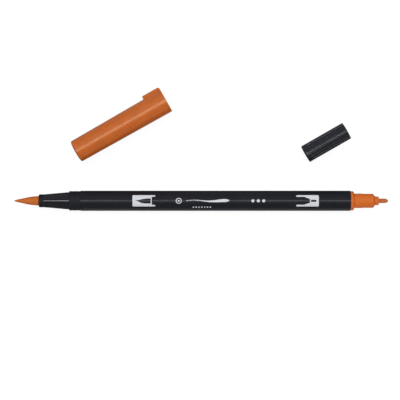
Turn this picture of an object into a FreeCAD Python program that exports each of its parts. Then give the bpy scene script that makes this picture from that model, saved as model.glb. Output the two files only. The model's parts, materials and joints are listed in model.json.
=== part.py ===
"""Double-ended brush pen with both caps off, in millimetres.

The pen lies along X with the fine tip towards +X. Z is up, and the origin is on the pen's
axis, in the middle of the barrel. Both caps lie beside the pen on the surface that the
barrel rests on. Every piece is turned about its own axis, so its outline is given as
stations (x, radius).
"""
import FreeCAD
import Part
import math
import os

Vector = FreeCAD.Vector
AXIS = Vector(1, 0, 0)
CENTRE = Vector(0, 0, 0)

# Barrel
BARREL_R = 4.1
BARREL_BORE_R = 3.4
BARREL_END = 54.9
BARREL_EDGE = 0.12
FLOOR = -BARREL_R

# Ink reservoir: a fibre rod in a film wrap, centred by two spacer rings
RESERVOIR_R = 2.5
WRAP_R = 2.6
RESERVOIR_END = 50.4
POCKET_DEPTH = 2.0
RING_BORE_R = 2.7
RING_R = 3.3
RING_WIDTH = 2.0
RING_X = 46.5

# Plugs at both ends of the barrel, cupped over the reservoir's ends
PLUG_CUP_R = 2.75
PLUG_CUP_DEPTH = 1.6
BRUSH_PLUG_X = -49.2
FINE_PLUG_X = 49.2

# Brush section: seal land, cone and nose
LAND_FRONT = -59.4
LAND_R = 3.93
LAND_RIB_R = 4.0
LAND_RIB_WIDTH = 0.7
LAND_RIB_X = (-59.0, -57.1)
CONE_BACK_R = 3.52
CONE_FRONT_R = 2.64
CONE_FRONT = -69.8
SPIGOT_R = 2.05
SPIGOT_FRONT = -71.0
COLLAR_FRONT = -71.8
COLLAR_EDGE = 0.35

# Brush tip
BRUSH_TIP_X = -82.3
BRUSH_BASE_R = 1.94
BRUSH_BASE_X = -71.1
BRUSH_STEM_R = 1.4
BRUSH_POINT_R = 0.14

# Fine tip holder and nib
FLANGE_R = 3.92
FLANGE_FRONT = 56.25
FLANGE_ROUND = 0.5
HOLDER_BACK_R = 2.92
HOLDER_RING_R = 2.99
HOLDER_RING_X = 58.8
HOLDER_FRONT_R = 2.85
HOLDER_FRONT = 64.1
HOLDER_ROUND = 0.45
NOSE_BACK_R = 1.8
NOSE_BACK = 64.75
NOSE_FRONT_R = 1.7
NOSE_FRONT = 66.35
NIB_R = 0.91
NIB_TIP_X = 70.15
NIB_ROUND = 0.75

# Brush cap, in its own frame: mouth at x = 0, facing +X
BRUSH_CAP_LENGTH = 42.5
BRUSH_CAP_MOUTH_R = 5.0
BRUSH_CAP_END_R = 4.64
BRUSH_CAP_DOME = 0.6
BRUSH_CAP_BORE_R = 4.05
BRUSH_CAP_BORE_DEPTH = 14.6
BRUSH_CAP_CORE_R = 3.4
BRUSH_CAP_CORE_DEPTH = 40.7
BRUSH_LINER_MOUTH = -15.0
BRUSH_LINER_BACK = -30.4
BRUSH_LINER_BORE_R = 2.72
LINER_FLOOR = 0.8
STUD_HEIGHT = 1.24
STUD_LENGTH = 7.85
STUD_WIDTH = 4.6
STUD_ROUND = 0.7

# Fine cap, in its own frame: mouth at x = 0, facing +X
FINE_CAP_LENGTH = 19.3
FINE_CAP_R = 3.66
FINE_CAP_BORE_R = 3.03
FINE_CAP_BORE_DEPTH = 8.2
FINE_CAP_CORE_R = 2.6
FINE_CAP_CORE_DEPTH = 18.1
FINE_LINER_MOUTH = -8.9
FINE_LINER_BACK = -15.9
FINE_LINER_BORE_R = 1.85
FLUTES = 18
FLUTE_R = 0.55
FLUTE_DEPTH = 0.22
RIM_WIDTH = 1.0
CAP_EDGE = 0.25

# Where the caps lie: the centre of each mouth, and the way the mouth faces
BRUSH_CAP_MOUTH = (-20.0, 40.8)
BRUSH_CAP_HEADING = 29.6
FINE_CAP_MOUTH = (36.6, 18.95)
FINE_CAP_HEADING = 209.8


def at(station):
    """Point of an outline, in the XZ plane."""
    return Vector(station[0], 0, station[1])


def corner_edges(before, corner, after, radius):
    """Start and end of a rounded corner, and its arc."""
    to_before = (before - corner).normalize()
    to_after = (after - corner).normalize()
    half_angle = to_before.getAngle(to_after) / 2
    setback = radius / math.tan(half_angle)
    middle_distance = radius / math.sin(half_angle) - radius
    bisector = (to_before + to_after).normalize()
    start = corner + to_before * setback
    end = corner + to_after * setback
    arc = Part.Arc(start, corner + bisector * middle_distance, end)
    return start, end, arc.toShape()


def turned(*stations):
    """Solid of revolution about X inside a closed outline.

    A station (x, r) is a sharp corner, (x, r, f) is a corner rounded to radius f, and a
    list of stations is one smooth curve.
    """
    count = len(stations)
    pieces = []
    for index, station in enumerate(stations):
        if isinstance(station, list):
            points = [at(p) for p in station]
            curve = Part.BSplineCurve()
            curve.interpolate(points)
            pieces.append((points[0], points[-1], curve.toShape()))
        elif len(station) == 3:
            last = stations[index - 1]
            following = stations[(index + 1) % count]
            before = at(last[-1]) if isinstance(last, list) else at(last)
            after = at(following[0]) if isinstance(following, list) else at(following)
            pieces.append(corner_edges(before, at(station), after, station[2]))
        else:
            pieces.append((at(station), at(station), None))
    edges = []
    for index, (start, end, shape) in enumerate(pieces):
        if shape is not None:
            edges.append(shape)
        next_start = pieces[(index + 1) % count][0]
        if end.distanceToPoint(next_start) > 1e-6:
            edges.append(Part.LineSegment(end, next_start).toShape())
    face = Part.Face(Part.Wire(edges))
    solid = face.revolve(CENTRE, AXIS, 360)
    return Part.Solid(solid) if solid.ShapeType == "Shell" else solid


def rod(start, end, radius):
    """Plain round rod along X."""
    return Part.makeCylinder(radius, end - start, Vector(start, 0, 0), AXIS)


def barrel():
    return turned(
        (-BARREL_END, BARREL_BORE_R),
        (-BARREL_END, BARREL_R, BARREL_EDGE),
        (BARREL_END, BARREL_R, BARREL_EDGE),
        (BARREL_END, BARREL_BORE_R),
    )


def ink_reservoir():
    core = rod(-RESERVOIR_END, RESERVOIR_END, RESERVOIR_R)
    brush_pocket = rod(-RESERVOIR_END, -RESERVOIR_END + POCKET_DEPTH, BRUSH_STEM_R)
    nib_pocket = rod(RESERVOIR_END - POCKET_DEPTH, RESERVOIR_END, NIB_R)
    return core.cut(brush_pocket).cut(nib_pocket)


def reservoir_wrap():
    outside = rod(-RESERVOIR_END, RESERVOIR_END, WRAP_R)
    return outside.cut(rod(-RESERVOIR_END, RESERVOIR_END, RESERVOIR_R))


def spacer_ring(middle):
    half = RING_WIDTH / 2
    outside = rod(middle - half, middle + half, RING_R)
    return outside.cut(rod(middle - half, middle + half, RING_BORE_R))


def land_rib(middle):
    """Low round-topped rib that the cap slides over."""
    half = LAND_RIB_WIDTH / 2
    return turned(
        (middle - half, LAND_R - half),
        [(middle - half, LAND_R), (middle, LAND_RIB_R), (middle + half, LAND_R)],
        (middle + half, LAND_R - half),
    )


def brush_section():
    cup_floor = BRUSH_PLUG_X - PLUG_CUP_DEPTH
    cone_length = LAND_FRONT - CONE_FRONT
    cone_rise = CONE_BACK_R - CONE_FRONT_R
    cone = [
        (LAND_FRONT, CONE_BACK_R),
        (LAND_FRONT - 0.33 * cone_length, CONE_BACK_R - 0.33 * cone_rise),
        (LAND_FRONT - 0.72 * cone_length, CONE_FRONT_R + 0.26 * cone_rise),
        (CONE_FRONT, CONE_FRONT_R),
    ]
    body = turned(
        (cup_floor, BRUSH_STEM_R),
        (cup_floor, PLUG_CUP_R),
        (BRUSH_PLUG_X, PLUG_CUP_R),
        (BRUSH_PLUG_X, BARREL_BORE_R),
        (-BARREL_END, BARREL_BORE_R),
        (-BARREL_END, LAND_R),
        (LAND_FRONT, LAND_R, 0.15),
        cone,
        (CONE_FRONT, SPIGOT_R),
        (SPIGOT_FRONT, SPIGOT_R),
        (SPIGOT_FRONT, BRUSH_STEM_R),
    )
    for middle in LAND_RIB_X:
        body = body.fuse(land_rib(middle))
    return body.removeSplitter()


def brush_collar():
    return turned(
        (CONE_FRONT, SPIGOT_R),
        (CONE_FRONT, CONE_FRONT_R),
        (COLLAR_FRONT, CONE_FRONT_R, COLLAR_EDGE),
        (COLLAR_FRONT, BRUSH_BASE_R),
        (BRUSH_BASE_X, BRUSH_BASE_R),
        (BRUSH_BASE_X, SPIGOT_R),
    )


def brush_tip():
    length = COLLAR_FRONT - BRUSH_TIP_X
    belly = [
        (COLLAR_FRONT, BRUSH_BASE_R),
        (COLLAR_FRONT - 0.34 * length, 0.83 * BRUSH_BASE_R),
        (COLLAR_FRONT - 0.64 * length, 0.49 * BRUSH_BASE_R),
        (COLLAR_FRONT - 0.87 * length, 0.23 * BRUSH_BASE_R),
        (BRUSH_TIP_X + 0.1, BRUSH_POINT_R),
    ]
    stem_back = -RESERVOIR_END + POCKET_DEPTH
    return turned(
        (stem_back, 0),
        (stem_back, BRUSH_STEM_R),
        (BRUSH_BASE_X, BRUSH_STEM_R),
        (BRUSH_BASE_X, BRUSH_BASE_R),
        belly,
        (BRUSH_TIP_X, 0.6 * BRUSH_POINT_R),
        (BRUSH_TIP_X, 0),
    )


def fine_tip_holder():
    cup_floor = FINE_PLUG_X + PLUG_CUP_DEPTH
    ring = [
        (HOLDER_RING_X - 0.6, HOLDER_BACK_R),
        (HOLDER_RING_X, HOLDER_RING_R),
        (HOLDER_RING_X + 1.2, HOLDER_FRONT_R),
    ]
    return turned(
        (cup_floor, NIB_R),
        (cup_floor, PLUG_CUP_R),
        (FINE_PLUG_X, PLUG_CUP_R),
        (FINE_PLUG_X, BARREL_BORE_R),
        (BARREL_END, BARREL_BORE_R),
        (BARREL_END, FLANGE_R),
        (FLANGE_FRONT, FLANGE_R, FLANGE_ROUND),
        (FLANGE_FRONT, HOLDER_BACK_R),
        ring,
        (HOLDER_FRONT, HOLDER_FRONT_R, HOLDER_ROUND),
        (NOSE_BACK, NOSE_BACK_R),
        (NOSE_FRONT, NOSE_FRONT_R, 0.15),
        (NOSE_FRONT, NIB_R),
    )


def fine_nib():
    tail_back = RESERVOIR_END - POCKET_DEPTH
    return turned(
        (tail_back, 0),
        (tail_back, NIB_R),
        (NIB_TIP_X, NIB_R, NIB_ROUND),
        (NIB_TIP_X, 0),
    )


def anti_roll_stud():
    """Pad on the side of the brush cap's mouth, with its far end stepped down."""
    height = BRUSH_CAP_MOUTH_R + STUD_HEIGHT
    base = BRUSH_CAP_BORE_R + 0.2
    pad = Part.makeBox(STUD_LENGTH, height - base, STUD_WIDTH, Vector(-STUD_LENGTH, base, -STUD_WIDTH / 2))
    top_edges = []
    for edge in pad.Edges:
        box = edge.BoundBox
        along_top = box.YMin > height - 1e-6
        at_back = box.XMax < -STUD_LENGTH + 1e-6
        if along_top and not at_back:
            top_edges.append(edge)
    return pad.makeFillet(STUD_ROUND, top_edges)


def brush_cap_shell():
    end = -BRUSH_CAP_LENGTH
    edge_x = end + BRUSH_CAP_DOME
    shell = turned(
        (0, BRUSH_CAP_BORE_R, 0.15),
        (0, BRUSH_CAP_MOUTH_R, CAP_EDGE),
        (edge_x, BRUSH_CAP_END_R),
        [
            (edge_x, BRUSH_CAP_END_R),
            (end + 0.34 * BRUSH_CAP_DOME, 0.78 * BRUSH_CAP_END_R),
            (end + 0.06 * BRUSH_CAP_DOME, 0.3 * BRUSH_CAP_END_R),
            (end, 0),
        ],
        (-BRUSH_CAP_CORE_DEPTH, 0),
        (-BRUSH_CAP_CORE_DEPTH, BRUSH_CAP_CORE_R),
        (-BRUSH_CAP_BORE_DEPTH, BRUSH_CAP_CORE_R),
        (-BRUSH_CAP_BORE_DEPTH, BRUSH_CAP_BORE_R),
    )
    return shell.fuse(anti_roll_stud()).removeSplitter()


def liner(mouth, back, outer_r, bore_r):
    """Thin inner cup that keeps a tip from drying out."""
    floor = back + LINER_FLOOR
    return turned(
        (mouth, bore_r),
        (mouth, outer_r),
        (back, outer_r),
        (back, 0),
        (floor, 0),
        (floor, bore_r),
    )


def brush_cap_liner():
    return liner(BRUSH_LINER_MOUTH, BRUSH_LINER_BACK, BRUSH_CAP_CORE_R, BRUSH_LINER_BORE_R)


def fine_cap_shell():
    end = -FINE_CAP_LENGTH
    shell = turned(
        (0, FINE_CAP_BORE_R, 0.12),
        (0, FINE_CAP_R, CAP_EDGE),
        (end, FINE_CAP_R, CAP_EDGE),
        (end, 0),
        (-FINE_CAP_CORE_DEPTH, 0),
        (-FINE_CAP_CORE_DEPTH, FINE_CAP_CORE_R),
        (-FINE_CAP_BORE_DEPTH, FINE_CAP_CORE_R),
        (-FINE_CAP_BORE_DEPTH, FINE_CAP_BORE_R),
    )
    groove = rod(end - 1, -RIM_WIDTH, FLUTE_R)
    groove.translate(Vector(0, 0, FINE_CAP_R + FLUTE_R - FLUTE_DEPTH))
    for index in range(FLUTES):
        shell = shell.cut(groove.rotated(CENTRE, AXIS, 360 * index / FLUTES))
    return shell


def fine_cap_liner():
    return liner(FINE_LINER_MOUTH, FINE_LINER_BACK, FINE_CAP_CORE_R, FINE_LINER_BORE_R)


def lying(mouth, heading, mouth_r, end_r, length):
    """Placement of a cap that lies on the surface, with its mouth facing a heading."""
    taper = math.degrees(math.atan2(mouth_r - end_r, length))
    turn = FreeCAD.Rotation(Vector(0, 0, 1), heading)
    tilt = FreeCAD.Rotation(Vector(0, 1, 0), -taper)
    height = FLOOR + mouth_r * math.cos(math.radians(taper))
    return FreeCAD.Placement(Vector(mouth[0], mouth[1], height), turn.multiply(tilt))


def brush_cap_placement():
    return lying(BRUSH_CAP_MOUTH, BRUSH_CAP_HEADING, BRUSH_CAP_MOUTH_R, BRUSH_CAP_END_R, BRUSH_CAP_LENGTH)


def fine_cap_placement():
    return lying(FINE_CAP_MOUTH, FINE_CAP_HEADING, FINE_CAP_R, FINE_CAP_R, FINE_CAP_LENGTH)


def placed(shape, placement):
    moved = shape.copy()
    moved.transformShape(placement.toMatrix())
    return moved


def all_nodes():
    brush_cap_at = brush_cap_placement()
    fine_cap_at = fine_cap_placement()
    return {
        "barrel": barrel(),
        "ink_reservoir": ink_reservoir(),
        "reservoir_wrap": reservoir_wrap(),
        "spacer_ring_brush_end": spacer_ring(-RING_X),
        "spacer_ring_fine_end": spacer_ring(RING_X),
        "brush_section": brush_section(),
        "brush_collar": brush_collar(),
        "brush_tip": brush_tip(),
        "fine_tip_holder": fine_tip_holder(),
        "fine_nib": fine_nib(),
        "brush_cap_shell": placed(brush_cap_shell(), brush_cap_at),
        "brush_cap_liner": placed(brush_cap_liner(), brush_cap_at),
        "fine_cap_shell": placed(fine_cap_shell(), fine_cap_at),
        "fine_cap_liner": placed(fine_cap_liner(), fine_cap_at),
    }


def main():
    os.makedirs("parts", exist_ok=True)
    for name, shape in all_nodes().items():
        if not shape.isValid() or len(shape.Solids) != 1:
            raise RuntimeError(name + " isn't one valid solid")
        shape.exportStep("parts/" + name + ".step")
        print(name, round(shape.Volume, 1))


if __name__ == "__main__":
    main()
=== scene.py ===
import json
import math

import bmesh
import bpy
from mathutils import Matrix, Vector


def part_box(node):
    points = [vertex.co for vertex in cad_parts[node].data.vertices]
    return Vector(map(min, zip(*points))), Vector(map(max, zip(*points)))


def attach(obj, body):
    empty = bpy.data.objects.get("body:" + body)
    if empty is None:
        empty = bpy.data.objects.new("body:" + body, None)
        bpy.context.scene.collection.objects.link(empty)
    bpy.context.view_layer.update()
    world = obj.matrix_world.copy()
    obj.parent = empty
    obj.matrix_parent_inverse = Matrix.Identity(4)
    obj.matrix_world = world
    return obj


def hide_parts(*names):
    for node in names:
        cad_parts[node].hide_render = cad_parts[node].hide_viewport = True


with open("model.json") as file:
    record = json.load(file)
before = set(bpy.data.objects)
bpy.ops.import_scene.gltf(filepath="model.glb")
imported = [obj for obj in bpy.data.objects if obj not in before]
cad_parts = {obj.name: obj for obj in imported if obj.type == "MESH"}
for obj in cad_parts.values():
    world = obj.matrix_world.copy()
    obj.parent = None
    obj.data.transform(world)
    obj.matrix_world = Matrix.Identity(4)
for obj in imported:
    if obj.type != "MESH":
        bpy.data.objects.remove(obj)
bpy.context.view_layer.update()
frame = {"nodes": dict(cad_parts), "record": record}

# Sizes are in millimetres up to to_metres(), which every piece's mesh goes through.
MM = 0.001
# Corners over this angle stay sharp, in degrees
SHARP_ANGLE = 35


def span(node):
    """Lowest and highest corner of a CAD node, in millimetres."""
    low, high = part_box(node)
    return low / MM, high / MM


BARREL_LOW, BARREL_HIGH = span("barrel")
SECTION_LOW, SECTION_HIGH = span("brush_section")
COLLAR_LOW, COLLAR_HIGH = span("brush_collar")
BRUSH_LOW, BRUSH_HIGH = span("brush_tip")
HOLDER_LOW, HOLDER_HIGH = span("fine_tip_holder")
NIB_LOW, NIB_HIGH = span("fine_nib")
MOUNTS = {mount["name"]: mount for mount in frame["record"]["mounts"]}

# Barrel
BARREL_R = BARREL_HIGH.z
BARREL_BORE_R = 3.4
BARREL_EDGE = 0.22
FLOOR_Z = BARREL_LOW.z

# Brush section
LAND_R = MOUNTS["brush_end_land"]["dims"]["r_mm"]
LAND_FRONT = -59.4
LAND_RIB_R = SECTION_HIGH.z
LAND_RIB_THICK = 0.35
LAND_RIB_FIRST = -59.0
LAND_RIB_PITCH = 1.9
LAND_RIBS = 2
LAND_EDGE = 0.16
CONE_BACK_R = 3.52
COLLAR_R = COLLAR_HIGH.z
COLLAR_EDGE = 0.38
COLLAR_GAP = 0.02
SPIGOT_R = 2.05

# Brush tip
BRUSH_BASE_R = 1.94
BRUSH_STEM_R = 1.4
BRUSH_BASE_X = -71.1
# Along the bristles: share of their length, and share of their base's radius
BRUSH_BELLY = ((0.0, 1.0), (0.34, 0.83), (0.64, 0.49), (0.87, 0.23))
# How much shorter the loose fibres' point is than the solid that stands for them
SOFT_POINT = 0.45

# Fine tip holder and nib
FLANGE_R = HOLDER_HIGH.z
FLANGE_FRONT = 56.25
FLANGE_ROUND = 0.62
HOLDER_BACK_R = 2.92
HOLDER_RING_R = 2.99
HOLDER_RING_X = 58.8
HOLDER_RING_BACK = 0.6
HOLDER_RING_RUN = 1.2
HOLDER_FRONT_R = MOUNTS["fine_end_body"]["dims"]["r_mm"]
HOLDER_FRONT = 64.1
HOLDER_ROUND = 0.4
NOSE_BACK = 64.75
NOSE_BACK_R = 1.8
NOSE_FRONT_R = 1.7
NIB_R = NIB_HIGH.z
NIB_POINT = 1.7
NIB_FULLNESS = 0.85
NIB_STEPS = 12

# Brush cap, in its own frame: mouth at x = 0, facing +X
BRUSH_CAP_LENGTH = 42.5
BRUSH_CAP_MOUTH_R = 5.0
BRUSH_CAP_END_R = 4.64
BRUSH_CAP_DOME = 0.6
# Over the dome: share of its height, and share of the end's radius
DOME_SHAPE = ((1.0, 1.0), (0.34, 0.78), (0.06, 0.3), (0.0, 0.0))
BRUSH_CAP_SLICES = 24
BRUSH_CAP_LIP_ROUND = 0.15
BRUSH_CAP_MOUTH_ROUND = 0.25
BRUSH_CAP_END_ROUND = 0.2
BRUSH_CAP_BORE_R = MOUNTS["brush_cap_bore"]["dims"]["r_mm"]
BRUSH_CAP_BORE_DEPTH = 14.6
BRUSH_CAP_BORE_MIDDLE = 7.35
BRUSH_CAP_CORE_R = 3.4
BRUSH_CAP_CORE_DEPTH = 40.7
STUD_HEIGHT = 1.24
STUD_LENGTH = 7.85
STUD_WIDTH = 4.6
STUD_DRAFT = 0.62
STUD_ROUND = 0.62
STUD_STEPS = 12
STUD_ROOT = 0.3
# Along the stud: x, how far its crest drops, and how much narrower it is on each side
STUD_STATIONS = (
    (-0.02, 0.75, 0.1),
    (-0.1, 0.45, 0.06),
    (-0.25, 0.23, 0.02),
    (-0.45, 0.08, 0.0),
    (-0.75, 0.0, 0.0),
    (-STUD_LENGTH + 0.16, 0.0, 0.0),
    (-STUD_LENGTH + 0.05, 0.04, 0.04),
    (-STUD_LENGTH, 0.16, 0.12),
)

# Fine cap, in its own frame
FINE_CAP_LENGTH = 19.3
FINE_CAP_R = 3.66
FINE_CAP_BORE_R = MOUNTS["fine_cap_bore"]["dims"]["r_mm"]
FINE_CAP_BORE_DEPTH = 8.2
FINE_CAP_BORE_MIDDLE = 4.15
FINE_CAP_CORE_R = 2.6
FINE_CAP_CORE_DEPTH = 18.1
FINE_CAP_LIP_ROUND = 0.12
FINE_CAP_EDGE = 0.22
FINE_CAP_END_RING_R = 2.9
FLUTES = 18
FLUTE_DEPTH = 0.32
FLUTE_HALF_WIDTH = 0.4
FLUTE_SQUARENESS = 4.0
FLUTE_RUN_IN = 0.5
FLUTED_SKIN = 0.5
FLUTE_SEGMENTS = 16
RIM_WIDTH = 1.0

# Prints on the barrel: half the ink's thickness, half a panel's width round the barrel, and the
# width of the strips that a print is cut into to follow the barrel
INK = 0.014
PANEL_HALF = 2.42
PRINT_STRIP = 0.2

# Points closer than this count as one, and those nearer the axis as on it
SAME_PLACE = 1e-4
ON_AXIS = 1e-6


# ---------------------------------------------------------------- outlines and meshes

def arc_points(before, corner, after, radius, steps):
    """Points round a corner, from its tangent with one side to its tangent with the other."""
    to_before = (before - corner).normalized()
    to_after = (after - corner).normalized()
    half = to_before.angle(to_after) / 2
    centre = corner + (to_before + to_after).normalized() * (radius / math.sin(half))
    start = corner + to_before * (radius / math.tan(half)) - centre
    end = corner + to_after * (radius / math.tan(half)) - centre
    sweep = start.angle(end)
    points = []
    for step in range(steps + 1):
        share = step / steps
        mixed = start * math.sin((1 - share) * sweep) + end * math.sin(share * sweep)
        points.append(centre + mixed / math.sin(sweep))
    return points


def smooth(stations, steps=6):
    """Smooth curve through stations, as more stations."""
    points = [Vector(station) for station in stations]
    first = points[0] * 2 - points[1]
    last = points[-1] * 2 - points[-2]
    padded = [first, *points, last]
    curve = []
    for a, b, c, d in zip(padded, padded[1:], padded[2:], padded[3:]):
        for step in range(steps):
            t = step / steps
            value = b * 2 + (c - a) * t + (a * 2 - b * 5 + c * 4 - d) * t ** 2
            value += (b * 3 - a - c * 3 + d) * t ** 3
            curve.append(tuple(value / 2))
    curve.append(tuple(points[-1]))
    return curve


def outline(stations, steps=5, hold=0.12):
    """Closed outline through (a, b) corners and (a, b, radius) rounded corners.

    Points held close to each rounded corner keep the long faces between them flat.
    """
    points = []
    count = len(stations)
    for index, station in enumerate(stations):
        corner = Vector(station[:2])
        before = Vector(stations[index - 1][:2])
        after = Vector(stations[(index + 1) % count][:2])
        if len(station) == 2:
            points.append(corner)
            continue
        arc = arc_points(before, corner, after, station[2], steps)
        for end, side in ((arc[0], before), (arc[-1], after)):
            room = (side - end).length
            if room > 3 * hold:
                end_held = end + (side - end).normalized() * hold
                arc = [end_held, *arc] if end is arc[0] else [*arc, end_held]
        points.extend(arc)
    return points


def to_metres(mesh):
    mesh.transform(Matrix.Scale(MM, 4))


def in_scene(name, data):
    """Object of some data, in the scene."""
    item = bpy.data.objects.new(name, data)
    bpy.context.scene.collection.objects.link(item)
    return item


def mesh_from(bm, name):
    mesh = bpy.data.meshes.new(name)
    bm.to_mesh(mesh)
    bm.free()
    return mesh


def sliced(points, slices):
    """Closed outline with extra points where (start, end, count) slices cross its long sides."""
    dense = []
    for index, point in enumerate(points):
        following = points[(index + 1) % len(points)]
        dense.append(point)
        low, high = sorted((point.x, following.x))
        for start, end, count in slices:
            cuts = [start + (end - start) * step / count for step in range(count + 1)]
            inside = [cut for cut in cuts if low + SAME_PLACE < cut < high - SAME_PLACE]
            if following.x < point.x:
                inside.reverse()
            for cut in inside:
                share = (cut - point.x) / (following.x - point.x)
                dense.append(point.lerp(following, share))
    return dense


def turned_mesh(name, stations, segments=128, slices=()):
    """Closed mesh of an (x, radius) outline turned about X, in millimetres."""
    bm = bmesh.new()
    rings = []
    for point in sliced(outline(stations), slices):
        if point.y < ON_AXIS:
            rings.append([bm.verts.new((point.x, 0, 0))])
            continue
        ring = []
        for step in range(segments):
            angle = 2 * math.pi * step / segments
            ring.append(bm.verts.new((point.x, point.y * math.sin(angle), point.y * math.cos(angle))))
        rings.append(ring)
    for index, ring in enumerate(rings):
        following = rings[(index + 1) % len(rings)]
        if len(ring) == 1 and len(following) == 1:
            continue
        for step in range(segments):
            after = (step + 1) % segments
            corners = [ring[step % len(ring)], ring[after % len(ring)]]
            corners += [following[after % len(following)], following[step % len(following)]]
            bm.faces.new(list(dict.fromkeys(corners)))
    bmesh.ops.recalc_face_normals(bm, faces=bm.faces)
    return mesh_from(bm, name)


def lying_matrix(mount_name, bore_middle):
    """Place of a cap: its own +X is the way its mouth faces, and its +Z is nearest up."""
    mount = MOUNTS[mount_name]
    facing = Vector(mount["axis"]).normalized()
    mouth = Vector(mount["pos_m"]) / MM + facing * bore_middle
    side = Vector((0, 0, 1)).cross(facing).normalized()
    up = facing.cross(side)
    turn = Matrix((facing, side, up)).transposed().to_4x4()
    return Matrix.Translation(mouth) @ turn


BRUSH_CAP_PLACE = lying_matrix("brush_cap_bore", BRUSH_CAP_BORE_MIDDLE)
FINE_CAP_PLACE = lying_matrix("fine_cap_bore", FINE_CAP_BORE_MIDDLE)


# ---------------------------------------------------------------- node helpers

def add(tree, kind, **settings):
    """New node, with its properties set by name and its inputs' values by in_ and name."""
    node = tree.nodes.new(kind)
    for key, value in settings.items():
        if key.startswith("in_"):
            node.inputs[key[3:].replace("_", " ")].default_value = value
        else:
            setattr(node, key, value)
    return node


def maths(tree, operation, first, second=None, clamp=False):
    """Math node on sockets or numbers, and its output."""
    node = add(tree, "ShaderNodeMath", operation=operation, use_clamp=clamp)
    for index, value in enumerate((first, second)):
        if value is None:
            continue
        if isinstance(value, (int, float)):
            node.inputs[index].default_value = value
        else:
            tree.links.new(value, node.inputs[index])
    return node.outputs[0]


# ---------------------------------------------------------------- materials

# Most of a noise's values lie between these
NOISE_SPAN = (0.3, 0.7)
NOISE_ROUGHNESS = 0.55


def noise(tree, coordinates, feature, detail=3.0, stretch=(1, 1, 1)):
    """Noise whose features are about so many millimetres across."""
    mapping = add(tree, "ShaderNodeMapping", in_Scale=stretch)
    tree.links.new(coordinates, mapping.inputs["Vector"])
    node = add(tree, "ShaderNodeTexNoise", in_Detail=detail, in_Roughness=NOISE_ROUGHNESS)
    node.inputs["Scale"].default_value = 1 / (feature * MM)
    tree.links.new(mapping.outputs["Vector"], node.inputs["Vector"])
    return node.outputs["Fac"]


def ranged(tree, value, low, high, source=NOISE_SPAN):
    """Value carried from its source span to low and high, and held there."""
    node = add(tree, "ShaderNodeMapRange", in_From_Min=source[0], in_From_Max=source[1])
    node.inputs["To Min"].default_value = low
    node.inputs["To Max"].default_value = high
    tree.links.new(value, node.inputs["Value"])
    return node.outputs["Result"]


# A Mix node has a socket of each name for each kind of value, so its colours go by number
MIX_COLOUR_A = 6
MIX_COLOUR_B = 7
MIX_COLOUR_RESULT = 2


def mixed_colour(tree, factor, first, second):
    """Colour between two, which are colours or sockets."""
    node = add(tree, "ShaderNodeMix", data_type="RGBA")
    tree.links.new(factor, node.inputs["Factor"])
    for number, colour in ((MIX_COLOUR_A, first), (MIX_COLOUR_B, second)):
        socket = node.inputs[number]
        if isinstance(colour, tuple):
            socket.default_value = (*colour, 1)
        else:
            tree.links.new(colour, socket)
    return node.outputs[MIX_COLOUR_RESULT]


# Tint of the shine on orange plastic and fibre
WARM = (1.0, 0.9, 0.6)


def shade(colour, factor):
    return tuple(channel * factor for channel in colour)


def varied(tree, value, colour, low, high):
    """Colour that a noise makes darker and lighter, between two factors."""
    return mixed_colour(tree, ranged(tree, value, 0, 1), shade(colour, low), shade(colour, high))


def new_material(name):
    """Material with its tree, its shader and its coordinates, which are fixed to the object."""
    material = bpy.data.materials.new(name)
    material.use_nodes = True
    tree = material.node_tree
    shader = tree.nodes["Principled BSDF"]
    coordinates = tree.nodes.new("ShaderNodeTexCoord").outputs["Object"]
    return material, tree, shader, coordinates


def add_bump(tree, shader, height, depth):
    """Fine relief in the shading, up to a depth in millimetres."""
    bump = add(tree, "ShaderNodeBump", in_Strength=1.0, in_Distance=depth * MM)
    tree.links.new(height, bump.inputs["Height"])
    tree.links.new(bump.outputs["Normal"], shader.inputs["Normal"])


# Moulded plastic: sizes of its flow marks and smudges in millimetres, what smudges do to its
# roughness, and what rubbing does to its edges
FLOW_SIZE = 5.0
SMUDGE_SIZE = 2.2
SMOOTHER = 0.86
ROUGHER = 1.18
RUBBED_POINTINESS = (0.52, 0.6)
RUBBED_LEAST = 0.3
RUBBED_ROUGHER = 0.12
RUBBED_LIGHTER = 1.25
RUBBED_PALER = 0.02
PLASTIC_IOR = 1.49
SKIN_ROUGHNESS = 0.1


def moulding(name, colour, roughness, gloss, grain, grain_depth,
             mottle=0.08, wear=0.25, skin=0.0, tint=(1, 1, 1)):
    """Injection-moulded plastic: fine spark-eroded grain, faint flow mottling, rubbed edges.

    gloss is the strength of the grain's own shine, and skin the share of polished skin over it.
    """
    material, tree, shader, place = new_material(name)
    flow = noise(tree, place, FLOW_SIZE, 2.0)
    fine = noise(tree, place, grain, 3.0)
    smudge = noise(tree, place, SMUDGE_SIZE, 4.0)
    body = varied(tree, flow, colour, 1 - mottle, 1 + mottle)
    pointy = add(tree, "ShaderNodeNewGeometry").outputs["Pointiness"]
    rubbed = ranged(tree, pointy, 0, wear, RUBBED_POINTINESS)
    broken_up = ranged(tree, smudge, RUBBED_LEAST, 1.0)
    rubbed_broken = maths(tree, "MULTIPLY", rubbed, broken_up, clamp=True)
    worn = tuple(channel * RUBBED_LIGHTER + RUBBED_PALER for channel in colour)
    tree.links.new(mixed_colour(tree, rubbed_broken, body, worn), shader.inputs["Base Color"])
    smudged = ranged(tree, smudge, roughness * SMOOTHER, roughness * ROUGHER)
    rougher = maths(tree, "MULTIPLY", rubbed, RUBBED_ROUGHER)
    tree.links.new(maths(tree, "ADD", smudged, rougher), shader.inputs["Roughness"])
    shader.inputs["IOR"].default_value = PLASTIC_IOR
    shader.inputs["Specular IOR Level"].default_value = gloss
    shader.inputs["Specular Tint"].default_value = (*tint, 1)
    shader.inputs["Coat Weight"].default_value = skin
    shader.inputs["Coat Roughness"].default_value = SKIN_ROUGHNESS
    add_bump(tree, shader, fine, grain_depth)
    return material


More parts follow.
